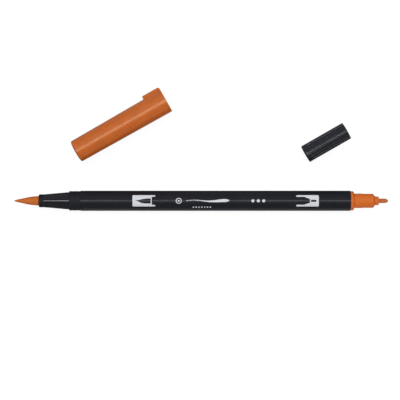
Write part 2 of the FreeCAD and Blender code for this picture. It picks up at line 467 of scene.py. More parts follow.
# Wet fibre: how its streaks are drawn out along the pen, its blotches, and its finish
STREAK_STRETCH = (0.03, 1, 1)
BLOTCH_SIZE = 1.6
BLOTCH_STRETCH = (0.4, 1, 1)
BLOTCH_SHARE = 0.35
BLOTCH_DARKER = 0.72
FIBRE_ROUGHEST = 0.62
FIBRE_SMOOTHEST = 0.42
FIBRE_SHINE = 0.3


def wet_fibre(name, light, dark, streak, depth):
    """Ink-soaked compressed fibre: lengthwise streaks of tone, with painted shade between the fibres.

    The colour is darkest where the relief is lowest, which is the painted shade.
    """
    material, tree, shader, place = new_material(name)
    fibres = noise(tree, place, streak, 4.0, STREAK_STRETCH)
    blotch = noise(tree, place, BLOTCH_SIZE, 3.0, BLOTCH_STRETCH)
    # Streaky tone, darkest in the low relief between the fibres: painted shade
    fibre_tone_and_hollow_shade = mixed_colour(tree, ranged(tree, fibres, 0, 1), dark, light)
    share = ranged(tree, blotch, 0, BLOTCH_SHARE)
    blotched = mixed_colour(tree, share, fibre_tone_and_hollow_shade, shade(light, BLOTCH_DARKER))
    tree.links.new(blotched, shader.inputs["Base Color"])
    rough = ranged(tree, fibres, FIBRE_ROUGHEST, FIBRE_SMOOTHEST)
    tree.links.new(rough, shader.inputs["Roughness"])
    shader.inputs["Specular IOR Level"].default_value = FIBRE_SHINE
    shader.inputs["Specular Tint"].default_value = (*WARM, 1)
    add_bump(tree, shader, fibres, depth)
    return material


def printing_ink(name, colour):
    """Pad-printed ink: pale, slightly thin in places, with a faint grain."""
    material, tree, shader, place = new_material(name)
    thin = noise(tree, place, 0.35, 4.0)
    tree.links.new(varied(tree, thin, colour, 0.9, 1.06), shader.inputs["Base Color"])
    tree.links.new(ranged(tree, thin, 0.42, 0.58), shader.inputs["Roughness"])
    add_bump(tree, shader, thin, 0.002)
    return material


def natural_polymer(name, colour, roughness):
    """Uncoloured moulding, faintly cloudy."""
    material, tree, shader, place = new_material(name)
    cloud = noise(tree, place, 1.5, 3.0)
    tree.links.new(varied(tree, cloud, colour, 0.93, 1.04), shader.inputs["Base Color"])
    tree.links.new(ranged(tree, cloud, roughness * 0.9, roughness * 1.15), shader.inputs["Roughness"])
    add_bump(tree, shader, noise(tree, place, 0.1), 0.001)
    return material


# Colours, as linear light
BLACK = (0.0088, 0.0094, 0.0125)
SECTION_BLACK = shade(BLACK, 0.95)
COOL_BLACK = (0.0098, 0.0112, 0.0156)
DEEP_ORANGE = (0.485, 0.1, 0.0105)
LIGHT_ORANGE = (0.565, 0.126, 0.02)
BRUSH_LIGHT = (0.64, 0.17, 0.03)
BRUSH_DARK = (0.33, 0.066, 0.012)
NIB_LIGHT = (0.56, 0.165, 0.04)
NIB_DARK = (0.3, 0.075, 0.018)
CORE_LIGHT = (0.6, 0.25, 0.1)
CORE_DARK = (0.35, 0.12, 0.04)

# Finishes: roughness and gloss, then the size and depth of the grain in millimetres
BARREL_BLACK = moulding("barrel_black", BLACK, 0.42, 0.2, 0.1, 0.0008, mottle=0.1, skin=0.22)
SECTION_GLOSS = moulding("section_gloss_black", SECTION_BLACK, 0.13, 0.65, 0.2, 0.0003)
LAND_MATT = moulding("land_matt_black", SECTION_BLACK, 0.6, 0.28, 0.07, 0.004)
CAP_BLACK = moulding("cap_black", COOL_BLACK, 0.3, 0.6, 0.1, 0.0012)
CAP_ORANGE = moulding("cap_orange", DEEP_ORANGE, 0.3, 0.9, 0.14, 0.001,
                      mottle=0.05, wear=0.12, tint=WARM)
HOLDER_ORANGE = moulding("holder_orange", LIGHT_ORANGE, 0.45, 0.22, 0.12, 0.0012,
                         mottle=0.05, tint=WARM)

# The size and depth of a fibre come last
BRUSH_FIBRE = wet_fibre("brush_fibre", BRUSH_LIGHT, BRUSH_DARK, 0.16, 0.02)
NIB_FIBRE = wet_fibre("nib_fibre", NIB_LIGHT, NIB_DARK, 0.1, 0.012)
RESERVOIR_FIBRE = wet_fibre("reservoir_fibre", CORE_LIGHT, CORE_DARK, 0.2, 0.03)
PALE_INK = printing_ink("pale_ink", (0.6, 0.61, 0.645))
LINER_POLYMER = natural_polymer("liner_polymer", (0.72, 0.71, 0.68), 0.42)
RING_POLYMER = natural_polymer("ring_polymer", (0.7, 0.7, 0.68), 0.4)
FILM_POLYMER = natural_polymer("film_polymer", (0.78, 0.78, 0.78), 0.22)


# ---------------------------------------------------------------- geometry nodes

def geometry_tree(name, numbers):
    """Geometry tree with a mesh in and out and named number inputs."""
    tree = bpy.data.node_groups.new(name, "GeometryNodeTree")
    tree.interface.new_socket("Geometry", in_out="INPUT", socket_type="NodeSocketGeometry")
    tree.interface.new_socket("Geometry", in_out="OUTPUT", socket_type="NodeSocketGeometry")
    for label, value in numbers.items():
        kind = "NodeSocketInt" if isinstance(value, int) else "NodeSocketFloat"
        socket = tree.interface.new_socket(label, in_out="INPUT", socket_type=kind)
        socket.default_value = value
    return tree, tree.nodes.new("NodeGroupInput"), tree.nodes.new("NodeGroupOutput")


def close_tree(tree, geometry, leaving, material):
    """Ends a tree in Realize Instances and Set Material."""
    realize = tree.nodes.new("GeometryNodeRealizeInstances")
    paint = tree.nodes.new("GeometryNodeSetMaterial")
    paint.inputs["Material"].default_value = material
    tree.links.new(geometry, realize.inputs[0])
    tree.links.new(realize.outputs[0], paint.inputs["Geometry"])
    tree.links.new(paint.outputs[0], leaving.inputs[0])


def made_by(tree, name, mesh, numbers):
    """Plain mesh that a tree makes from a mesh, with its inputs set."""
    holder = in_scene(name + "_blank", mesh)
    modifier = holder.modifiers.new(tree.name, "NODES")
    modifier.node_group = tree
    inputs = [item for item in tree.interface.items_tree if item.in_out == "INPUT"]
    sockets = {item.name: item.identifier for item in inputs}
    for label, value in numbers.items():
        modifier[sockets[label]] = value
    graph = bpy.context.evaluated_depsgraph_get()
    result = bpy.data.meshes.new_from_object(holder.evaluated_get(graph))
    holder.modifiers.clear()
    bpy.data.objects.remove(holder)
    result.name = name
    return result


def polar(tree):
    """Position's x, its angle round X from +Z, its distance from X, and the outward direction."""
    position = tree.nodes.new("GeometryNodeInputPosition").outputs[0]
    parts = tree.nodes.new("ShaderNodeSeparateXYZ")
    tree.links.new(position, parts.inputs[0])
    x, y, z = parts.outputs
    angle = maths(tree, "ARCTAN2", y, z)
    flat = tree.nodes.new("ShaderNodeCombineXYZ")
    tree.links.new(y, flat.inputs["Y"])
    tree.links.new(z, flat.inputs["Z"])
    length = add(tree, "ShaderNodeVectorMath", operation="LENGTH")
    tree.links.new(flat.outputs[0], length.inputs[0])
    outward = add(tree, "ShaderNodeVectorMath", operation="NORMALIZE")
    tree.links.new(flat.outputs[0], outward.inputs[0])
    return x, angle, length.outputs["Value"], outward.outputs[0]


def move_along(tree, geometry, direction, distance):
    """Geometry with its points moved along a direction."""
    scaled = add(tree, "ShaderNodeVectorMath", operation="SCALE")
    tree.links.new(direction, scaled.inputs[0])
    tree.links.new(distance, scaled.inputs["Scale"])
    move = tree.nodes.new("GeometryNodeSetPosition")
    tree.links.new(geometry, move.inputs["Geometry"])
    tree.links.new(scaled.outputs[0], move.inputs["Offset"])
    return move.outputs[0]


FLUTE_NUMBERS = {
    "Flutes": FLUTES,
    "Radius": FINE_CAP_R,
    "Depth": FLUTE_DEPTH,
    "Half width": FLUTE_HALF_WIDTH,
    "Squareness": FLUTE_SQUARENESS,
    "Rim width": RIM_WIDTH,
}


def flute_tree():
    """Rounded grooves along a round cap, from behind its rim to its closed end."""
    tree, entering, leaving = geometry_tree("lengthwise_flutes", FLUTE_NUMBERS)
    x, angle, distance, outward = polar(tree)
    sockets = entering.outputs
    pitch_angle = maths(tree, "DIVIDE", 2 * math.pi, sockets["Flutes"])
    turns = maths(tree, "DIVIDE", angle, pitch_angle)
    from_groove = maths(tree, "ABSOLUTE", maths(tree, "SUBTRACT", maths(tree, "FRACT", turns), 0.5))
    off_middle = maths(tree, "MULTIPLY", from_groove, pitch_angle)
    across = maths(tree, "MULTIPLY", off_middle, sockets["Radius"])
    share = maths(tree, "DIVIDE", across, sockets["Half width"])
    falloff = maths(tree, "POWER", share, sockets["Squareness"])
    groove = maths(tree, "SUBTRACT", 1.0, falloff, clamp=True)
    behind_rim = maths(tree, "SUBTRACT", maths(tree, "MULTIPLY", x, -1.0), sockets["Rim width"])
    started = maths(tree, "DIVIDE", behind_rim, FLUTE_RUN_IN, clamp=True)
    eased = maths(tree, "SQRT", started)
    inner_edge = maths(tree, "SUBTRACT", sockets["Radius"], FLUTED_SKIN)
    into_skin = maths(tree, "SUBTRACT", distance, inner_edge)
    outside = maths(tree, "DIVIDE", into_skin, FLUTED_SKIN, clamp=True)
    amount = maths(tree, "MULTIPLY", maths(tree, "MULTIPLY", groove, eased), outside)
    inward = maths(tree, "MULTIPLY", maths(tree, "MULTIPLY", amount, sockets["Depth"]), -1.0)
    close_tree(tree, move_along(tree, sockets["Geometry"], outward, inward), leaving, CAP_BLACK)
    return tree


FIBRE_NUMBERS = {
    "Relief": 0.022,
    "Fibres": 46.0,
    "Lay": 0.35,
    "Seed": 7.0,
}
# The noise's value that leaves the surface where it is, and how many times over its swing counts
FIBRE_LEVEL = 0.62
FIBRE_SWING = 2.0


def fibre_tree():
    """Fine lengthwise fibres over a round pointed tip."""
    tree, entering, leaving = geometry_tree("lengthwise_fibres", FIBRE_NUMBERS)
    x, _, distance, outward = polar(tree)
    sockets = entering.outputs
    place = tree.nodes.new("ShaderNodeCombineXYZ")
    round_the_tip = maths(tree, "MULTIPLY", sockets["Fibres"], 1 / (2 * math.pi))
    direction = tree.nodes.new("ShaderNodeSeparateXYZ")
    tree.links.new(outward, direction.inputs[0])
    tree.links.new(maths(tree, "MULTIPLY", direction.outputs["Y"], round_the_tip), place.inputs["Y"])
    tree.links.new(maths(tree, "MULTIPLY", direction.outputs["Z"], round_the_tip), place.inputs["Z"])
    tree.links.new(maths(tree, "MULTIPLY", x, sockets["Lay"]), place.inputs["X"])
    grain = add(tree, "ShaderNodeTexNoise", noise_dimensions="4D", in_Detail=2.0, in_Scale=1.0)
    tree.links.new(place.outputs[0], grain.inputs["Vector"])
    tree.links.new(sockets["Seed"], grain.inputs["W"])
    centred = maths(tree, "SUBTRACT", grain.outputs["Fac"], FIBRE_LEVEL)
    near_point = maths(tree, "DIVIDE", distance, BRUSH_BASE_R, clamp=True)
    rise = maths(tree, "MULTIPLY", maths(tree, "MULTIPLY", centred, sockets["Relief"]), near_point)
    lifted = maths(tree, "MULTIPLY", rise, FIBRE_SWING)
    close_tree(tree, move_along(tree, sockets["Geometry"], outward, lifted), leaving, BRUSH_FIBRE)
    return tree


RIB_NUMBERS = {
    "Ribs": LAND_RIBS,
    "Pitch": LAND_RIB_PITCH,
    "First": LAND_RIB_FIRST,
    "Radius": LAND_RIB_R - LAND_RIB_THICK,
    "Thickness": LAND_RIB_THICK,
}
RIB_SEGMENTS = 128
RIB_SECTION_SEGMENTS = 14


def rib_tree():
    """Round-topped rings in a row along the seal land."""
    tree, entering, leaving = geometry_tree("land_ribs", RIB_NUMBERS)
    sockets = entering.outputs
    ring = add(tree, "GeometryNodeCurvePrimitiveCircle", in_Resolution=RIB_SEGMENTS)
    section = add(tree, "GeometryNodeCurvePrimitiveCircle", in_Resolution=RIB_SECTION_SEGMENTS)
    tree.links.new(sockets["Radius"], ring.inputs["Radius"])
    tree.links.new(sockets["Thickness"], section.inputs["Radius"])
    swept = tree.nodes.new("GeometryNodeCurveToMesh")
    tree.links.new(ring.outputs[0], swept.inputs["Curve"])
    tree.links.new(section.outputs[0], swept.inputs["Profile Curve"])
    row = tree.nodes.new("GeometryNodeMeshLine")
    start = tree.nodes.new("ShaderNodeCombineXYZ")
    step = tree.nodes.new("ShaderNodeCombineXYZ")
    tree.links.new(sockets["First"], start.inputs["X"])
    tree.links.new(sockets["Pitch"], step.inputs["X"])
    tree.links.new(sockets["Ribs"], row.inputs["Count"])
    tree.links.new(start.outputs[0], row.inputs["Start Location"])
    tree.links.new(step.outputs[0], row.inputs["Offset"])
    place = add(tree, "GeometryNodeInstanceOnPoints", in_Rotation=(0, math.pi / 2, 0))
    tree.links.new(row.outputs[0], place.inputs["Points"])
    tree.links.new(swept.outputs[0], place.inputs["Instance"])
    close_tree(tree, place.outputs[0], leaving, LAND_MATT)
    return tree


SMALL_DOTS = {"Dots": 7, "Pitch": 1.15, "Size": 0.3}
LARGE_DOTS = {"Dots": 3, "Pitch": 2.2, "Size": 0.62}
DOT_SEGMENTS = 24


def dot_tree():
    """Row of flat dots along X, on the plane z = 0."""
    tree, entering, leaving = geometry_tree("row_of_dots", SMALL_DOTS)
    sockets = entering.outputs
    dot = add(tree, "GeometryNodeMeshCircle", fill_type="NGON", in_Vertices=DOT_SEGMENTS)
    tree.links.new(sockets["Size"], dot.inputs["Radius"])
    row = tree.nodes.new("GeometryNodeMeshLine")
    step = tree.nodes.new("ShaderNodeCombineXYZ")
    tree.links.new(sockets["Pitch"], step.inputs["X"])
    tree.links.new(sockets["Dots"], row.inputs["Count"])
    tree.links.new(step.outputs[0], row.inputs["Offset"])
    place = add(tree, "GeometryNodeInstanceOnPoints")
    tree.links.new(row.outputs[0], place.inputs["Points"])
    tree.links.new(dot.outputs[0], place.inputs["Instance"])
    close_tree(tree, place.outputs[0], leaving, PALE_INK)
    return tree


# ---------------------------------------------------------------- the pen

def painted(name, mesh, material, body, record_slot, *nodes, sharp=SHARP_ANGLE):
    """Finishes a mesh as a smooth piece on a body, which stands for CAD nodes.

    A mesh that has its materials already keeps them. Corners over the sharp angle stay sharp.
    """
    to_metres(mesh)
    if not mesh.materials:
        mesh.materials.append(material)
    piece = in_scene(name, mesh)
    mesh.shade_smooth()
    mesh.set_sharp_from_angle(angle=math.radians(sharp))
    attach(piece, body)
    if nodes:
        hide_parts(*nodes)


def make_barrel():
    """Plain tube, open at both ends."""
    back, front = BARREL_LOW.x, BARREL_HIGH.x
    mesh = turned_mesh("barrel_tube", [
        (back, BARREL_BORE_R),
        (back, BARREL_R, BARREL_EDGE),
        (front, BARREL_R, BARREL_EDGE),
        (front, BARREL_BORE_R),
    ], segments=160)
    painted("barrel_tube", mesh, BARREL_BLACK, "pen", "barrel_black", "barrel")


def make_section():
    """Plug, seal land and cone, with the land in its own matt finish."""
    cone_front = COLLAR_HIGH.x
    length = LAND_FRONT - cone_front
    rise = CONE_BACK_R - COLLAR_R
    cone = smooth([
        (LAND_FRONT, CONE_BACK_R),
        (LAND_FRONT - 0.33 * length, CONE_BACK_R - 0.33 * rise),
        (LAND_FRONT - 0.72 * length, COLLAR_R + 0.26 * rise),
        (cone_front, COLLAR_R),
    ])
    mesh = turned_mesh("section_moulding", [
        (SECTION_HIGH.x, BRUSH_STEM_R),
        (SECTION_HIGH.x, BARREL_BORE_R),
        (BARREL_LOW.x, BARREL_BORE_R),
        (BARREL_LOW.x, LAND_R),
        (LAND_FRONT, LAND_R, LAND_EDGE),
        *cone,
        (cone_front, SPIGOT_R),
        (SECTION_LOW.x, SPIGOT_R),
        (SECTION_LOW.x, BRUSH_STEM_R),
    ])
    mesh.materials.append(SECTION_GLOSS)
    mesh.materials.append(LAND_MATT)
    for face in mesh.polygons:
        face.material_index = int(face.center.x > LAND_FRONT - 0.05)
    painted("section_moulding", mesh, SECTION_GLOSS, "pen", "section_black", "brush_section")


def make_land_ribs():
    """Low rings round the seal land."""
    blank = bpy.data.meshes.new("ribs")
    mesh = made_by(rib_tree(), "land_ribs", blank, RIB_NUMBERS)
    painted("land_ribs", mesh, LAND_MATT, "pen", "section_black", sharp=80)


def make_collar():
    """Short nose round the bristles' base."""
    mesh = turned_mesh("brush_collar_nose", [
        (COLLAR_HIGH.x, SPIGOT_R),
        (COLLAR_HIGH.x, COLLAR_R, 0.05),
        (COLLAR_LOW.x, COLLAR_R, COLLAR_EDGE),
        (COLLAR_LOW.x, BRUSH_BASE_R + COLLAR_GAP, 0.06),
        (BRUSH_BASE_X, BRUSH_BASE_R + COLLAR_GAP),
        (BRUSH_BASE_X, SPIGOT_R),
    ])
    painted("brush_collar_nose", mesh, LAND_MATT, "pen", "section_black", "brush_collar")


def make_brush():
    """Stem and pointed tip, with fibres in relief."""
    front = BRUSH_LOW.x + SOFT_POINT
    length = COLLAR_LOW.x - BRUSH_LOW.x
    stations = [(COLLAR_LOW.x - share * length, width * BRUSH_BASE_R) for share, width in BRUSH_BELLY]
    belly = smooth([*stations, (front + 0.12, 0.14)], steps=14)
    mesh = turned_mesh("brush_fibre_tip", [
        (BRUSH_HIGH.x, 0),
        (BRUSH_HIGH.x, BRUSH_STEM_R),
        (BRUSH_BASE_X, BRUSH_STEM_R),
        (BRUSH_BASE_X, BRUSH_BASE_R),
        *belly,
        (front + 0.03, 0.08),
        (front, 0),
    ], segments=240)
    result = made_by(fibre_tree(), "brush_fibre_tip", mesh, FIBRE_NUMBERS)
    painted("brush_fibre_tip", result, BRUSH_FIBRE, "pen", "brush_orange", "brush_tip", sharp=60)


def make_holder():
    """Plug, flange, body with a low ring round it, and nose."""
    ring = smooth([
        (HOLDER_RING_X - HOLDER_RING_BACK, HOLDER_BACK_R),
        (HOLDER_RING_X, HOLDER_RING_R),
        (HOLDER_RING_X + HOLDER_RING_RUN, HOLDER_FRONT_R),
    ])
    mesh = turned_mesh("fine_holder_moulding", [
        (HOLDER_LOW.x, NIB_R),
        (HOLDER_LOW.x, BARREL_BORE_R),
        (BARREL_HIGH.x, BARREL_BORE_R),
        (BARREL_HIGH.x, FLANGE_R - 0.04),
        (FLANGE_FRONT, FLANGE_R, FLANGE_ROUND),
        (FLANGE_FRONT, HOLDER_BACK_R, 0.1),
        *ring,
        (HOLDER_FRONT, HOLDER_FRONT_R, HOLDER_ROUND),
        (NOSE_BACK, NOSE_BACK_R, 0.12),
        (HOLDER_HIGH.x, NOSE_FRONT_R, 0.15),
        (HOLDER_HIGH.x, NIB_R),
    ])
    painted(
        "fine_holder_moulding", mesh, HOLDER_ORANGE,
        "pen", "holder_orange", "fine_tip_holder",
    )


def make_nib():
    """Round-ended fibre rod."""
    front = NIB_HIGH.x
    point = []
    for step in range(NIB_STEPS):
        angle = math.pi / 2 * step / NIB_STEPS
        x = front - NIB_POINT * (1 - math.sin(angle))
        point.append((x, NIB_R * math.cos(angle) ** NIB_FULLNESS))
    mesh = turned_mesh("fine_nib_fibre", [
        (NIB_LOW.x, 0),
        (NIB_LOW.x, NIB_R),
        *point,
        (front, 0),
    ], segments=64)
    painted("fine_nib_fibre", mesh, NIB_FIBRE, "pen", "nib_orange", "fine_nib")


# ---------------------------------------------------------------- the caps

def joined(base, other):
    """Mesh of two solids made one."""
    base_object = in_scene("base", base)
    other_object = in_scene("other", other)
    modifier = base_object.modifiers.new("join", "BOOLEAN")
    modifier.operation = "UNION"
    modifier.solver = "EXACT"
    modifier.object = other_object
    graph = bpy.context.evaluated_depsgraph_get()
    result = bpy.data.meshes.new_from_object(base_object.evaluated_get(graph))
    base_object.modifiers.clear()
    bpy.data.objects.remove(base_object)
    bpy.data.objects.remove(other_object)
    return result


def stud_mesh():
    """Anti-roll stud: a drafted pad, rounded along its top and steep at its far end."""
    top = BRUSH_CAP_MOUTH_R + STUD_HEIGHT
    base = BRUSH_CAP_BORE_R + STUD_ROOT
    crest = top - STUD_ROUND
    bm = bmesh.new()
    rings = []
    for x, drop, narrowing in STUD_STATIONS:
        ring = []
        half_base = STUD_WIDTH / 2 - narrowing
        half_crest = STUD_WIDTH / 2 * STUD_DRAFT - narrowing
        ring.append((base, -half_base))
        for step in range(STUD_STEPS + 1):
            angle = math.pi * step / STUD_STEPS
            reach = max(half_crest - STUD_ROUND, 0)
            side = reach if angle > math.pi / 2 else -reach
            if step == STUD_STEPS // 2:
                ring.append((top - drop, -reach))
                ring.append((top - drop, reach))
                continue
            height = crest - drop + STUD_ROUND * math.sin(angle)
            ring.append((height, side - STUD_ROUND * math.cos(angle)))
        ring.append((base, half_base))
        rings.append([bm.verts.new((x, y, z)) for y, z in ring])
    for ring, following in zip(rings, rings[1:]):
        for index in range(len(ring)):
            after = (index + 1) % len(ring)
            bm.faces.new((ring[index], ring[after], following[after], following[index]))
    bm.faces.new(rings[0])
    bm.faces.new(rings[-1])
    bmesh.ops.recalc_face_normals(bm, faces=bm.faces)
    return mesh_from(bm, "stud")


def make_brush_cap():
    """Long tapered cap with a domed end and its stud."""
    end = -BRUSH_CAP_LENGTH
    stations = [(end + rise * BRUSH_CAP_DOME, width * BRUSH_CAP_END_R) for rise, width in DOME_SHAPE]
    dome = smooth(stations, steps=5)
    shell = turned_mesh("brush_cap_moulding", [
        (0, BRUSH_CAP_BORE_R, BRUSH_CAP_LIP_ROUND),
        (0, BRUSH_CAP_MOUTH_R, BRUSH_CAP_MOUTH_ROUND),
        (*stations[0], BRUSH_CAP_END_ROUND),
        *dome[2:],
        (-BRUSH_CAP_CORE_DEPTH, 0),
        (-BRUSH_CAP_CORE_DEPTH, BRUSH_CAP_CORE_R),
        (-BRUSH_CAP_BORE_DEPTH, BRUSH_CAP_CORE_R),
        (-BRUSH_CAP_BORE_DEPTH, BRUSH_CAP_BORE_R),
    ], segments=160, slices=((end, 0, BRUSH_CAP_SLICES),))
    mesh = joined(shell, stud_mesh())
    mesh.transform(BRUSH_CAP_PLACE)
    mesh.materials.clear()
    painted(
        "brush_cap_moulding", mesh, CAP_ORANGE,
        "brush_cap", "cap_orange", "brush_cap_shell", sharp=40,
    )


def make_fine_cap():
    """Short flat-ended cap with flutes behind its rim."""
    end = -FINE_CAP_LENGTH
    run_in = (-RIM_WIDTH - 0.6, -RIM_WIDTH, 8)
    flutes = (end, -RIM_WIDTH, 12)
    blank = turned_mesh("fine_cap_moulding", [
        (0, FINE_CAP_BORE_R, FINE_CAP_LIP_ROUND),
        (0, FINE_CAP_R, FINE_CAP_EDGE),
        (end, FINE_CAP_R, FINE_CAP_EDGE),
        (end, FINE_CAP_END_RING_R),
        (end, 0),
        (-FINE_CAP_CORE_DEPTH, 0),
        (-FINE_CAP_CORE_DEPTH, FINE_CAP_CORE_R),
        (-FINE_CAP_BORE_DEPTH, FINE_CAP_CORE_R),
        (-FINE_CAP_BORE_DEPTH, FINE_CAP_BORE_R),
    ], segments=FLUTES * FLUTE_SEGMENTS, slices=(run_in, flutes))
    mesh = made_by(flute_tree(), "fine_cap_moulding", blank, FLUTE_NUMBERS)
    mesh.transform(FINE_CAP_PLACE)
    painted(
        "fine_cap_moulding", mesh, CAP_BLACK,
        "fine_cap", "cap_black", "fine_cap_shell", sharp=32,
    )


# ---------------------------------------------------------------- prints

def wrapped(bm, name):
    """Turns flat faces, x along the pen and y round it, into thin ink on the barrel."""
    bmesh.ops.triangulate(bm, faces=bm.faces)
    limit = max(abs(vert.co.y) for vert in bm.verts)
    strips = int(limit / PRINT_STRIP) + 1
    for index in range(-strips, strips + 1):
        cut = PRINT_STRIP * index
        geometry = [*bm.verts, *bm.edges, *bm.faces]
        bmesh.ops.bisect_plane(bm, geom=geometry, plane_co=(0, cut, 0), plane_no=(0, 1, 0))
    for face in bm.faces:
        if face.normal.z < 0:
            face.normal_flip()
    top_faces = list(bm.faces)
    raised = bmesh.ops.extrude_face_region(bm, geom=top_faces)["geom"]
    raised_verts = {item for item in raised if isinstance(item, bmesh.types.BMVert)}
    for vert in bm.verts:
        height = BARREL_R + (INK if vert in raised_verts else -INK)
        angle = vert.co.y / BARREL_R
        vert.co = Vector((vert.co.x, height * math.sin(angle), height * math.cos(angle)))
    bmesh.ops.recalc_face_normals(bm, faces=bm.faces)
    return mesh_from(bm, name)


def print_loops(name, loops):
    """Ink inside closed loops of (x, round) points; inner loops are left bare."""
    bm = bmesh.new()
    edges = []
    for loop in loops:
        verts = [bm.verts.new((point[0], point[1], 0)) for point in loop]
        for index, vert in enumerate(verts):
            edges.append(bm.edges.new((vert, verts[(index + 1) % len(verts)])))
    bmesh.ops.triangle_fill(bm, edges=edges, use_beauty=True)
    mesh = wrapped(bm, name)
    painted(name, mesh, PALE_INK, "pen", "barrel_black", sharp=50)


def brush_panel():
    """Panel with a brush tip left bare in it, pointing at the brush end."""
    left = -33.65
    wall = -26.25
    right = -25.85
    arms = -24.4
    arm_width = 0.62
    half = PANEL_HALF
    mouth = 1.62
    corner = 0.4
    arm_corner = 0.3
    inner_corner = 0.25
    mouth_corner = 0.1
    loop = outline([
        (left, -half, corner),
        (arms, -half, arm_corner),
        (arms, -half + arm_width, inner_corner),
        (right, -mouth, mouth_corner),
        (right, mouth, mouth_corner),
        (arms, half - arm_width, inner_corner),
        (arms, half, arm_corner),
        (left, half, corner),
    ], steps=5, hold=10)
    tip = left + 1.0
    tip_round = 0.3
    middle = -0.08
    belly = 1.02
    upper = smooth([
        (wall, middle + belly),
        (wall - 1.7, middle + belly),
        (wall - 3.6, middle + 0.72 * belly),
        (tip + 1.0, tip_round - 0.05),
        (tip, tip_round),
    ], steps=8)
    lower = smooth([
        (tip, tip_round),
        (tip + 1.4, middle - 0.22 * belly),
        (wall - 3.4, middle - 0.85 * belly),
        (wall - 1.7, middle - belly),
        (wall, middle - belly),
    ], steps=8)
    print_loops("print_brush_panel", [loop, [*upper, *lower[1:]]])


def fine_panel():
    """Panel with a fine tip left bare in it, pointing at the fine end."""
    left = 32.7
    waist = 35.7
    shoulder = 38.05
    right = 41.8
    half = PANEL_HALF
    arm = 0.78
    throat = 0.84
    loop = outline([
        (left, half - arm, 0.25),
        (waist, half - arm, 0.2),
        (shoulder, throat, 0.12),
        (shoulder + 0.2, throat - 0.3, 0.1),
        (shoulder + 0.2, -throat + 0.3, 0.1),
        (shoulder, -throat, 0.12),
        (waist, -half + arm, 0.2),
        (left, -half + arm, 0.25),
        (left, -half, 0.3),
        (right, -half, 0.4),
        (right, half, 0.4),
        (left, half, 0.3),
    ], steps=5, hold=10)
    nib_back = shoulder + 0.55
    nib_front = shoulder + 2.85
    nib_half = 0.44
    nib = outline([
        (nib_back, nib_half, 0.16),
        (nib_back, -nib_half, 0.16),
        (nib_front, -nib_half, 0.4),
        (nib_front, nib_half, 0.4),
    ], steps=4, hold=10)
    print_loops("print_fine_panel", [loop, nib])


def stroke_mark():
    """One long brush stroke that swells from a hair line to a full belly and lifts off."""
    start = -11.9
    end = 5.6
    steps = 60
    wave = 0.32
    half_waves = 2.6
    calming = 0.6
    hair = 0.08
    belly = 0.86
    upper = []
    lower = []
    for step in range(steps + 1):
        share = step / steps
        x = start + (end - start) * share
        middle = wave * math.sin(half_waves * math.pi * share) * (1 - calming * share)
        swell = hair + belly * share ** 2.2 * (1 - share ** 14)
        upper.append((x, middle + swell))
        lower.append((x, middle - swell))
    print_loops("print_stroke", [[*upper, *reversed(lower)]])


def ring_mark():
    """Plain ring with a dot, ahead of the stroke."""
    middle = -14.9
    outer = 1.2
    inner = 0.88
    dot = 0.4
    steps = 40
    angles = [2 * math.pi * step / steps for step in range(steps)]
    loops = []
    for radius in (outer, inner, dot):
        loops.append([(middle + radius * math.cos(turn), radius * math.sin(turn)) for turn in angles])
    print_loops("print_ring", loops)


def dot_row(name, first_x, round_the_barrel, numbers):
    """Dots in a row along the barrel, from the first one's place."""
    blank = bpy.data.meshes.new(name)
    flat = made_by(dot_tree(), name, blank, numbers)
    bm = bmesh.new()
    bm.from_mesh(flat)
    bmesh.ops.translate(bm, verts=bm.verts, vec=(first_x, round_the_barrel, 0))
    mesh = wrapped(bm, name)
    painted(name, mesh, PALE_INK, "pen", "barrel_black", sharp=50)


# ---------------------------------------------------------------- finishes on the CAD pieces

def paint_cad(node, material):
    """Gives a CAD piece, which is shown as it is, its material."""
    data = frame["nodes"][node].data
    data.materials.clear()
    data.materials.append(material)


# ---------------------------------------------------------------- stage, light and camera

# Floor: how much light each strip of it gives back to the object, which is painted light and shade,
# and what the camera sees on top
# The near strip is painted light in front of the pen, and the darkest strip is painted shade beside it
FLOOR_NEAR = 0.5
FLOOR_FRONT = 0.2
FLOOR_PAINTED_SHADE = 0.06
FLOOR_FAR = 0.4
FLOOR_GLOW = 0.9
FLOOR_SEEN = 0.13
FLOOR_SIZE = 6
FLOOR_GAP = 0.00002

# Where those strips change over, in metres: near side, with its painted light, the strip of painted
# shade beside the pen, far side, and the brush's end, ahead of which the near strip is dimmer
FLOOR_NEAR_SPAN = (-0.05, -0.012)
FLOOR_PAINTED_SHADE_SPAN = (0.0, 0.003)
FLOOR_FAR_SPAN = (0.012, 0.05)
FLOOR_END_SPAN = (-0.06, -0.056)
FLOOR_END_SHARE = 0.15

# Room: brightness by direction, in degrees from straight up towards +Y
ROOM_LEVELS = (
    (-178, 0.16),
    (-60, 0.16),
    (-15, 0.12),
    (28, 0.12),
    (36, 0.34),
    (48, 0.34),
    (55, 0.2),
    (68, 0.22),
    (76, 0.28),
    (88, 0.26),
    (98, 0.12),
)
ROOM_BLUE = 1.12


def given_back(tree):
    """Colour that each strip of the floor gives back to the object: painted light and painted shade."""
    place = tree.nodes.new("ShaderNodeTexCoord").outputs["Object"]
    parts = tree.nodes.new("ShaderNodeSeparateXYZ")
    tree.links.new(place, parts.inputs[0])
    x, y, _ = parts.outputs
    # Painted light on the floor on the near side of the pen, dimmer ahead of the brush's end
    below = ranged(tree, y, FLOOR_FRONT, FLOOR_NEAR, FLOOR_NEAR_SPAN)
    ahead = ranged(tree, y, 1.0, 0.0, FLOOR_PAINTED_SHADE_SPAN)
    along = ranged(tree, x, FLOOR_END_SHARE, 1.0, FLOOR_END_SPAN)
    near = maths(tree, "MULTIPLY", maths(tree, "MULTIPLY", below, ahead), along)
    # Painted shade in the strip beside the pen, rising to the far side's level
    far = ranged(tree, y, FLOOR_PAINTED_SHADE, FLOOR_FAR, FLOOR_FAR_SPAN)
    back = tree.nodes.new("ShaderNodeCombineColor")
    for channel in ("Red", "Green", "Blue"):
        tree.links.new(maths(tree, "ADD", near, far), back.inputs[channel])
    return back.outputs[0]


